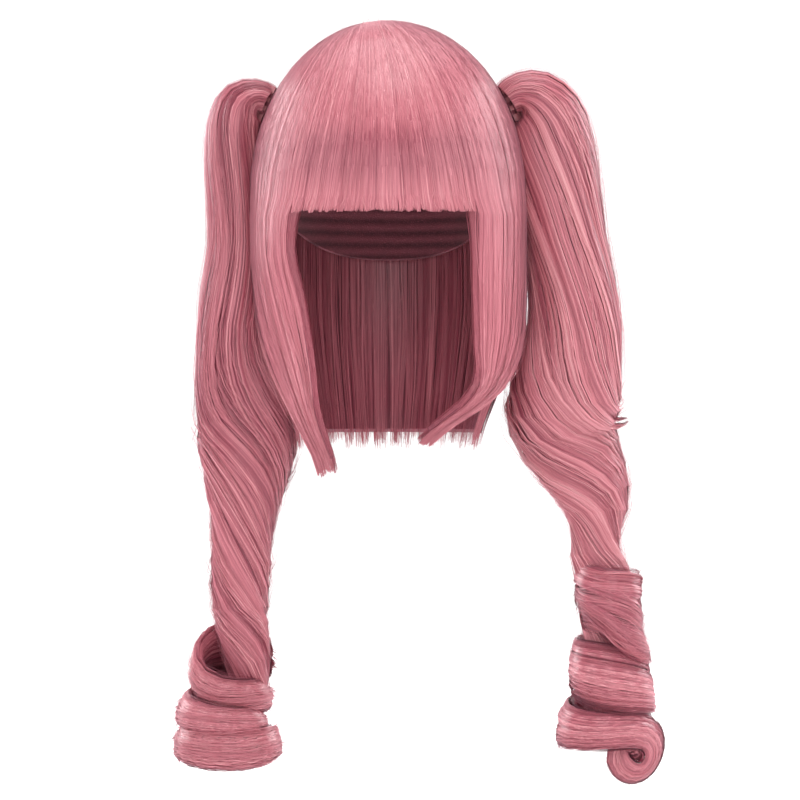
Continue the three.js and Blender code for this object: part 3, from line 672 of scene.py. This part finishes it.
# Pigtails. Places across a lock run from -1 at one edge to 1 at the other.
BODY_LOCKS = 11
BODY_LAYERS = ((1750, 0), (180, 0.5), (50, 1.2))  # strands, and how loose they are
BODY_POINTS = 42
BODY_START = 0.022  # where the strands start, as a share of the way through the table
ROOT_SWEEP = 75  # degrees that the strands go round a pigtail from its root to its straight part
SWEEP_END = 0.36  # where they have gone round, as a share of the way through the table
UNDER_PART = 0.25  # share of the strands that make an even layer beneath the locks
UNDER_REACH = 0.91  # how far out that layer lies, as a share of the section
CORE_REACH = 0.88  # how far out the underlayer lies
CURL_LAYERS = ((1, 0), (8, 0.4), (24, 0.9))  # a strand in so many, and how loose they are
CURL_POINTS = 36
CURL_LOOSE = 4  # how far the loosest hairs of a curl stray
WISP = dict(loose=0.1, ends=0.4, gather=0.65)
CLIP_GAP = 0.5  # between a clip and the hair in it


def root_place(side, round_by=0, down_by=0):
    """The middle of a pigtail's root, or a place a little further round the head or down it."""
    azimuth = np.array(side * (ROOT_AZIMUTH + round_by), float)
    return egg(HAIR, azimuth, np.array(ROOT_POLAR + down_by))


def hung(row, side):
    """The place of a table's row, hung from a pigtail's root."""
    place = root_place(side)
    x = place[0] + side * row["out"] * PIGTAIL_WIDTH
    y = place[1] + row["back"] * PIGTAIL_DEPTH
    z = place[2] - row["drop"] * PIGTAIL_LENGTH
    return np.stack(np.broadcast_arrays(x, y, z), -1)


def body_frame(rows, side, share):
    """The middle of a pigtail's sections, their two half widths, and how far they have turned."""
    row = along(rows, share)
    centre = hung(row, side)
    forward = unit(hung(along(rows, share + STEP), side) - hung(along(rows, share - STEP), side))
    across = unit(np.cross(np.array([0.0, 1.0, 0.0]), forward))
    rearward = np.cross(forward, across)
    across = across * (row["wide"] * PIGTAIL_WIDTH / 2)[..., None]
    rearward = rearward * (row["deep"] * PIGTAIL_DEPTH / 2)[..., None]
    return centre, across, rearward, row["turn"]


def body_strands(rows, side, rng, count, stand, tone, loose):
    """Strands of a pigtail, in flat locks that lie over one another and wind round it, and an
    even layer of them beneath the locks."""
    locks = BODY_LOCKS
    line = BODY_START + (1 - BODY_START) * np.linspace(0, 1, BODY_POINTS) ** 1.15
    centre, across, rearward, turn = body_frame(rows, side, line)
    turn = turn + ROOT_SWEEP * (1 - ease(0, SWEEP_END, line))
    # Where each lock lies round the pigtail and how wide it is, in degrees
    home = 360 * (np.arange(locks) + rng.uniform(-0.35, 0.35, locks)) / locks
    home = home[:, None] + turn + 13 * wander(rng, locks, line)
    spread = 360 / locks * rng.uniform(0.55, 1.15, (locks, 1))
    stand = stand + rng.uniform(-0.04, 0.04, (locks, 1)) + 0.03 * wander(rng, locks, line)
    lock = rng.integers(0, locks, count)
    under = rng.random((count, 1)) < UNDER_PART
    beside = rng.uniform(-1, 1, (count, 1)) + 0.035 * wander(rng, count, line)
    beside = np.where(under, beside * locks / 2, beside)
    # How far out each strand lies, as a share of the section
    far = stand[lock] - 0.12 * beside**2 + 0.012 * grain(rng, lock, beside)
    far = np.where(under, UNDER_REACH, far) - rng.uniform(0, 0.03, (count, 1))
    far = far + loose * (0.12 * np.abs(wander(rng, count, line)) + 0.06)
    angle = np.radians(home[lock] + spread[lock] * beside)
    flat_x, flat_y = far * np.cos(angle), far * np.sin(angle)
    points = centre + flat_x[..., None] * across + flat_y[..., None] * rearward
    lean = angle + np.where(under, 0, 0.5 * beside)
    outward = unit(
        np.cos(lean)[..., None] * unit(across) + np.sin(lean)[..., None] * unit(rearward)
    )
    width = strand_widths(rng, BODY_HAIR, count, line, loose)
    tone = strand_tones(rng, BODY_HAIR, tone, lock, locks, beside)
    # Painted shade: strands of the layer beneath the locks, and at a lock's edges, are painted
    # darker
    edge = BODY_HAIR["edge"] * ease(0.55, 1, np.abs(beside))
    tone = tone - np.where(under, BODY_HAIR["under"], edge)
    return ribbons(points, outward, width, tone, rng)


def tapered(line):
    """Shares of a section that close an underlayer's two ends."""
    part = (line - line[0]) / (line[-1] - line[0])
    return 0.04 + 0.96 * np.sqrt(ease(0, 0.04, part) * (1 - ease(0.96, 1, part)))


def body_core(rows, side):
    """The closed underlayer of a pigtail."""
    line = np.linspace(0.03, 0.985, 60)
    centre, across, rearward, _ = body_frame(rows, side, line)
    around = np.radians(np.linspace(0, 360, 36, endpoint=False))[None, :, None]
    size = CORE_REACH * tapered(line)[:, None, None]
    grid = centre[:, None] + size * np.cos(around) * across[:, None]
    grid = grid + size * np.sin(around) * rearward[:, None]
    return skin(grid, 0.25, closed=True)


def curl_frame(rows, side, share):
    """The middle of a curl's band, the ways out of it and across it, and its half width."""

    def middle(row):
        turn, tilt = np.radians(row["turn"]), np.radians(row["tilt"])
        out = np.stack(
            [np.cos(turn), np.sin(turn) * np.cos(tilt), np.sin(turn) * np.sin(tilt)], -1
        )
        return hung(row, side) + out * (row["radius"] * CURL_RADIUS)[..., None], out

    row = along(rows, share)
    centre, outward = middle(row)
    ahead, _ = middle(along(rows, share + STEP))
    behind, _ = middle(along(rows, share - STEP))
    forward = unit(ahead - behind)
    outward = unit(outward - forward * np.sum(outward * forward, -1, keepdims=True))
    lean = np.radians(row["lean"])[..., None]
    outward = outward * np.cos(lean) - np.cross(forward, outward) * np.sin(lean)
    return centre, outward, np.cross(forward, outward), row["high"] * CURL_BAND / 2


def curl_strands(rows, side, rng, count, locks, tone, loose, ends=0.14, gather=0.5):
    """Strands of a curl, in flat locks that lie one over another across its band. Ends is how
    unevenly they end, and gather how far they close up towards the tip."""
    line = np.linspace(0, 1, CURL_POINTS)
    reach = 1 - ends * rng.random((count, 1)) ** 2
    centre, outward, across, half = curl_frame(rows, side, line * reach)
    lock = rng.integers(0, locks, count)
    # Places across the band, from about -1 to 1
    level = np.linspace(-0.7, 0.7, locks)[:, None] + 0.14 * wander(rng, locks, line)
    spread = rng.uniform(0.9, 1.5, (locks, 1)) / locks
    beside = rng.uniform(-1, 1, (count, 1)) + 0.025 * wander(rng, count, line)
    open_by = 1 - gather * ease(1.4 - 1.04 * gather, 1, line)
    high = (level[lock] + spread[lock] * beside) * open_by
    lens = np.sqrt(np.clip(1.05 - high**2, 0.05, 1))
    face = np.where(rng.random((count, 1)) < 0.7, 1, -1)
    high = high * np.where(face < 0, 1.12, 1)
    # Places through its thickness, in millimetres
    bump = rng.normal(0, 0.6, (locks, 1)) + 0.6 * wander(rng, locks, line)
    deep = face * CURL_LAYER / 2 * lens * (1 - 0.25 * beside**2) * open_by
    deep = deep + bump[lock] + rng.uniform(-0.3, 0.3, (count, 1))
    deep = deep + 0.4 * grain(rng, lock, beside)
    deep = deep + loose * CURL_LOOSE * wander(rng, count, line)
    tilt = 0.8 * high + 0.3 * beside
    high = high * half + loose * CURL_LOOSE * wander(rng, count, line)
    points = centre + outward * deep[..., None] + across * high[..., None]
    facing = unit(outward * (face * lens)[..., None] + across * tilt[..., None])
    width = strand_widths(rng, CURL_HAIR, count, line, loose)
    tone = strand_tones(rng, CURL_HAIR, tone, lock, locks, beside)
    # Painted shade: strands on the band's far face, and at a lock's edges, are painted darker
    tone = tone - CURL_HAIR["under"] * (face < 0)
    tone = tone - CURL_HAIR["edge"] * ease(0.6, 1, np.abs(beside))
    return ribbons(points, facing, width, tone, rng)


def curl_core(rows, side):
    """The closed underlayer of a curl."""
    line = np.linspace(0, 0.97, 90)
    centre, outward, across, half = curl_frame(rows, side, line)
    around = np.radians(np.linspace(0, 360, 12, endpoint=False))[None, :, None]
    deep = (CURL_LAYER * 0.3 * tapered(line))[:, None, None]
    high = (half * 0.85 * tapered(line))[:, None, None]
    grid = centre[:, None] + np.cos(around) * outward[:, None] * deep
    grid = grid + np.sin(around) * across[:, None] * high
    return skin(grid, 0.25, closed=True)


def clip_hair(side):
    """The hair that a clip holds, seen between its teeth, darkened with the underlayer's painted
    shade.
    """
    place = root_place(side)
    down = unit(root_place(side, down_by=STEP) - place)
    rear = unit(root_place(side, round_by=1) - place)
    out = unit(np.cross(down, rear)) * side
    around = np.radians(np.linspace(0, 180, 13))[None, :, None]
    length = np.linspace(-0.5, 0.5, 9)[:, None, None] * CLIP_LENGTH
    wide = CLIP_WIDTH / 2 - CLIP_WALL - CLIP_GAP
    high = CLIP_HEIGHT - CLIP_WALL - CLIP_GAP
    grid = place + down * length + rear * wide * np.cos(around) + out * high * np.sin(around)
    return skin(grid, 0.5)


def make_pigtail(name, side, body, curls, wisps, stand, tones, seed):
    """A pigtail, whose curls and wisps are tables with counts of strands and locks. Stand is how
    far out its locks reach, as a share of its section, and tones are how light the hair of its
    body and of its curls is painted, the two set apart by painted shade."""
    rng = np.random.default_rng(seed)
    strands = [
        body_strands(body, side, rng, count, stand, tones[0], loose)
        for count, loose in BODY_LAYERS
    ]
    groups = [(HAIR_FINISH, strands), (PAINTED_SHADE_UNDER_FINISH, [body_core(body, side), clip_hair(side)])]
    make_piece(name + "_hair", groups, name)
    strands = [
        curl_strands(rows, side, rng, count // part, locks, tones[1], loose)
        for rows, count, locks in curls
        for part, loose in CURL_LAYERS
    ]
    strands += [
        curl_strands(rows, side, rng, count, locks, tones[0], **WISP)
        for rows, count, locks in wisps
    ]
    cores = [curl_core(rows, side) for rows, _, _ in curls]
    make_piece(name + "_curl_hair", [(HAIR_FINISH, strands), (PAINTED_SHADE_UNDER_FINISH, cores)], name)


# Cap
CAP_COLUMNS = 96
CAP_ROWS = 48


def make_cap():
    """Stretch cap with rows of sewn-on wefts, open below."""
    azimuth = np.linspace(0, 360, CAP_COLUMNS, endpoint=False)[None, :]
    rim = along(CAP_RIM, (1 - np.cos(np.radians(azimuth))) / 2)["polar"]
    down = np.linspace(CROWN_POLAR, 1, CAP_ROWS)[:, None]
    azimuth, polar = np.broadcast_arrays(azimuth, rim * down)
    outer = egg(CAP, azimuth, polar)
    inner = egg(HEAD, azimuth, polar)
    fold = (outer[-1] + inner[-1]) / 2 - [0, 0, CAP_WALL / 2]
    hem = np.stack([outer[-1], fold, inner[-1]])
    parts = [skin(outer, 0.5, True), skin(inner, 0.5, True, True), skin(hem, 0.5, True)]
    piece = make_piece("cap_net", [(CAP_FINISH, parts)], "cap")


# Materials
class Finish:
    """A node material on one Principled shader."""

    def __init__(self, name):
        self.material = bpy.data.materials.new(name)
        self.material.use_nodes = True
        self.nodes = self.material.node_tree.nodes
        self.shader = self.nodes["Principled BSDF"]

    def node(self, kind, values=None, **settings):
        """A node with its settings, and the values of its inputs by name or number."""
        made = self.nodes.new(kind)
        for key, value in settings.items():
            setattr(made, key, value)
        for key, value in (values or {}).items():
            made.inputs[key].default_value = value
        return made

    def link(self, source, target):
        self.material.node_tree.links.new(source, target)

    def ramp(self, source, *stops):
        """A colour for each value, from stops that each have a place and a colour."""
        made = self.node("ShaderNodeValToRGB")
        elements = made.color_ramp.elements
        first, *between, last = stops
        elements[0].position, elements[0].color = first
        elements[1].position, elements[1].color = last
        for place, colour in between:
            elements.new(place).color = colour
        self.link(source, made.inputs["Fac"])
        self.link(made.outputs["Color"], self.shader.inputs["Base Color"])

    def roughness(self, source, low, high):
        """Roughness between two values."""
        made = self.node("ShaderNodeMapRange", {"To Min": low, "To Max": high})
        self.link(source, made.inputs["Value"])
        self.link(made.outputs["Result"], self.shader.inputs["Roughness"])

    def set(self, **values):
        for key, value in values.items():
            self.shader.inputs[key.replace("_", " ")].default_value = value


def linear(red, green, blue):
    """An 8-bit screen colour as the renderer's linear one."""
    return tuple(
        c / 12.92 if c <= 0.04045 else ((c + 0.055) / 1.055) ** 2.4
        for c in (red / 255, green / 255, blue / 255)
    ) + (1.0,)


SHADE_STOPS = (0.35, 0.7, 1.0)  # values at which hair has its dark, middle and light shade
STREAK_DEPTH = 0.4  # how much the streaks add to a strand's tone
STREAK_LENGTHS = 28  # streaks of colour in a metre along the hair
STREAK_GLOSS = (-0.08, 0.1)  # how much the streaks change the roughness


def hair_finish(name, shades, gloss, sheen):
    """Pink fibre: streaks that run along each strand, and a tone for each strand, which is partly
    random and partly painted shade.
    """
    f = Finish(name)
    flow = f.node("ShaderNodeUVMap", uv_map="flow")
    stretch = f.node("ShaderNodeMapping", {"Scale": (STREAK_LENGTHS, STREAKS, 1)})
    streak = f.node("ShaderNodeTexNoise", {"Scale": 1, "Detail": 2}, noise_dimensions="2D")
    f.link(flow.outputs["UV"], stretch.inputs["Vector"])
    f.link(stretch.outputs["Vector"], streak.inputs["Vector"])
    tone = f.node("ShaderNodeUVMap", uv_map="shade")
    split = f.node("ShaderNodeSeparateXYZ")
    f.link(tone.outputs["UV"], split.inputs["Vector"])
    mix = f.node("ShaderNodeMath", {1: STREAK_DEPTH}, operation="MULTIPLY_ADD")
    f.link(streak.outputs["Fac"], mix.inputs[0])
    f.link(split.outputs["X"], mix.inputs[2])
    f.ramp(mix.outputs[0], *zip(SHADE_STOPS, (linear(*shade) for shade in shades)))
    f.roughness(streak.outputs["Fac"], *(gloss + change for change in STREAK_GLOSS))
    tangent = f.node("ShaderNodeTangent", direction_type="UV_MAP", uv_map="flow")
    f.link(tangent.outputs["Tangent"], f.shader.inputs["Tangent"])
    f.set(Anisotropic=0.75, Anisotropic_Rotation=0.25, IOR=1.5, Specular_IOR_Level=0.6)
    f.set(Sheen_Weight=sheen, Sheen_Roughness=0.45, Sheen_Tint=linear(255, 194, 222))
    return f.material


def cap_finish():
    """Knitted stretch net crossed by rows of stitched wefts."""
    f = Finish("cap_net")
    place = f.node("ShaderNodeTexCoord")
    rows = f.node(
        "ShaderNodeTexWave",
        {"Scale": 36, "Distortion": 0.6},
        wave_type="BANDS",
        bands_direction="Z",
    )
    net = f.node("ShaderNodeTexVoronoi", {"Scale": 650}, feature="DISTANCE_TO_EDGE")
    f.link(place.outputs["Object"], rows.inputs["Vector"])
    f.link(place.outputs["Object"], net.inputs["Vector"])
    mix = f.node("ShaderNodeMath", {1: 0.6}, operation="MULTIPLY_ADD")
    f.link(rows.outputs["Fac"], mix.inputs[0])
    f.link(net.outputs["Distance"], mix.inputs[2])
    f.ramp(mix.outputs[0], (0, linear(92, 46, 56)), (1, linear(170, 96, 110)))
    bump = f.node("ShaderNodeBump", {"Strength": 0.6, "Distance": 0.0006})
    f.link(mix.outputs[0], bump.inputs["Height"])
    f.link(bump.outputs["Normal"], f.shader.inputs["Normal"])
    f.set(Roughness=0.85, Sheen_Weight=0.2)
    return f.material


def clip_finish():
    """Dark pink moulded plastic with faint scuffs."""
    f = Finish("clip_plastic")
    place = f.node("ShaderNodeTexCoord")
    scuff = f.node("ShaderNodeTexNoise", {"Scale": 300, "Detail": 4})
    f.link(place.outputs["Object"], scuff.inputs["Vector"])
    f.ramp(scuff.outputs["Fac"], (0, linear(156, 88, 94)), (1, linear(190, 120, 126)))
    f.roughness(scuff.outputs["Fac"], 0.25, 0.45)
    return f.material


def stage_finish():
    """Pale grey card, very slightly mottled."""
    f = Finish("pale_floor")
    mottle = f.node("ShaderNodeTexNoise", {"Scale": 3})
    f.ramp(mottle.outputs["Fac"], (0, (0.9, 0.9, 0.9, 1)), (1, (0.92, 0.92, 0.92, 1)))
    f.set(Roughness=0.9)
    return f.material


# Stage, lights and camera, in metres
FLOOR_GAP = 0.02  # from the lowest curl to the floor
STAGE_WIDTH = 16
STAGE_FRONT = -6
STAGE_TOP = 6
BEND_START = 2  # where the floor starts to bend up
BEND_RADIUS = 1
BEND_STEPS = 15


def make_stage():
    """A pale floor that sweeps up into a backdrop."""
    floor = cad_box[0].z - FLOOR_GAP
    bend = np.radians(np.linspace(6, 90, BEND_STEPS))
    profile = [(STAGE_FRONT, 0), (BEND_START, 0)]
    profile += [
        (BEND_START + BEND_RADIUS * math.sin(a), BEND_RADIUS * (1 - math.cos(a))) for a in bend
    ]
    profile.append((BEND_START + BEND_RADIUS, STAGE_TOP))
    mesh = bpy.data.meshes.new("backdrop")
    sides = (-STAGE_WIDTH / 2, STAGE_WIDTH / 2)
    vertices = [(x, y, floor + z) for y, z in profile for x in sides]
    quads = [(2 * k, 2 * k + 1, 2 * k + 3, 2 * k + 2) for k in range(len(profile) - 1)]
    mesh.from_pydata(vertices, [], quads)
    for face in mesh.polygons:
        face.use_smooth = True
    mesh.materials.append(stage_finish())
    backdrop = bpy.data.objects.new("backdrop", mesh)
    bpy.context.scene.collection.objects.link(backdrop)


# Round lights: where each is, where it points, how wide it is, and its power in watts
LIGHTS = {
    "top": ((0.1, -0.5, 1.7), (0, 0, -0.1), 1.2, 17),
    "front": ((0, -2.1, 0.3), (0, 0, -0.25), 1.4, 12),
    "right": ((1.7, -1.05, 0.5), (0, 0, -0.2), 1.5, 17),
    "left": ((-1.7, -1.05, 0.5), (0, 0, -0.2), 1.5, 15),
    "low": ((0, -1.8, -1.2), (0, 0, -0.25), 1.4, 6),
    "rim_right": ((1.4, 0.9, 0.4), (0, 0, -0.2), 1.2, 26),
    "rim_left": ((-1.4, 0.9, 0.4), (0, 0, -0.2), 1.2, 26),
    "behind": ((0, 0.6, 1.6), (0, 2.6, 0.2), 2.0, 30),
}


def make_light(name, place, aim, size, power):
    data = bpy.data.lights.new(name, "AREA")
    data.shape = "DISK"
    data.size = size
    data.energy = power
    light = bpy.data.objects.new(name, data)
    light.location = place
    light.rotation_euler = (Vector(aim) - Vector(place)).to_track_quat("-Z", "Y").to_euler()
    bpy.context.scene.collection.objects.link(light)


WORLD_STRENGTH = 0.4


def make_world():
    """Even white light from all round."""
    world = bpy.data.worlds.new("studio")
    world.use_nodes = True
    background = world.node_tree.nodes["Background"]
    background.inputs["Color"].default_value = (1, 1, 1, 1)
    background.inputs["Strength"].default_value = WORLD_STRENGTH
    bpy.context.scene.world = world


# What the camera sees: the photo's middle and its width at the wig, from well back
FRAME_MIDDLE = Vector((8.4, 0, -251)) * MM
FRAME_WIDTH = 0.56
CAMERA_AWAY = 3.0


def make_camera():
    data = bpy.data.cameras.new("camera")
    data.lens = data.sensor_width * CAMERA_AWAY / FRAME_WIDTH
    camera = bpy.data.objects.new("camera", data)
    camera.location = FRAME_MIDDLE + Vector((0, -CAMERA_AWAY, 0))
    camera.rotation_euler = (math.pi / 2, 0, 0)
    bpy.context.scene.collection.objects.link(camera)
    bpy.context.scene.camera = camera


# Dark, middle and light shade of the hair, and of its underlayer, which is the same fibre darkened
# with painted shade
HAIR_SHADES = ((140, 53, 72), (199, 116, 127), (237, 172, 176))
UNDER_PAINTED_SHADES = ((112, 48, 62), (156, 76, 90), (190, 106, 120))
HAIR_FINISH = hair_finish("pink_fibre", HAIR_SHADES, gloss=0.38, sheen=0.2)
# The underlayer's finish is painted shade, for the deep hair beneath the strands
PAINTED_SHADE_UNDER_FINISH = hair_finish("pink_underlayer_painted_shade", UNDER_PAINTED_SHADES, gloss=0.5, sheen=0.05)
CAP_FINISH = cap_finish()
CLIP_FINISH = clip_finish()

make_cap()
make_whorl(1)
for seed, panel_name in enumerate(PANELS, 2):
    make_panel(panel_name, seed)
make_pigtail(
    "pigtail_left",
    side=1,
    body=LEFT_BODY,
    curls=((LEFT_UPPER_CURL, 520, 6), (LEFT_CURL, 760, 4), (LEFT_HEART, 80, 2)),
    wisps=((LEFT_FLICK, 150, 3),),
    stand=1.05,
    # Painted shade: these tones set the body and curls lighter or darker for how much light
    # reaches them
    tones=(0.48, 0.39),
    seed=11,
)
make_pigtail(
    "pigtail_right",
    side=-1,
    body=RIGHT_BODY,
    curls=((RIGHT_CURL, 1150, 4),),
    wisps=(),
    stand=1,
    # Painted shade: these tones set the body and curls lighter or darker for how much light
    # reaches them
    tones=(0.39, 0.46),
    seed=12,
)
for clip in ("claw_clip_left", "claw_clip_right"):
    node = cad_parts[clip]
    node.data.materials.clear()
    node.data.materials.append(CLIP_FINISH)

make_stage()
for light_name, light in LIGHTS.items():
    make_light(light_name, *light)
make_world()
bpy.context.scene.view_settings.view_transform = "Standard"
make_camera()
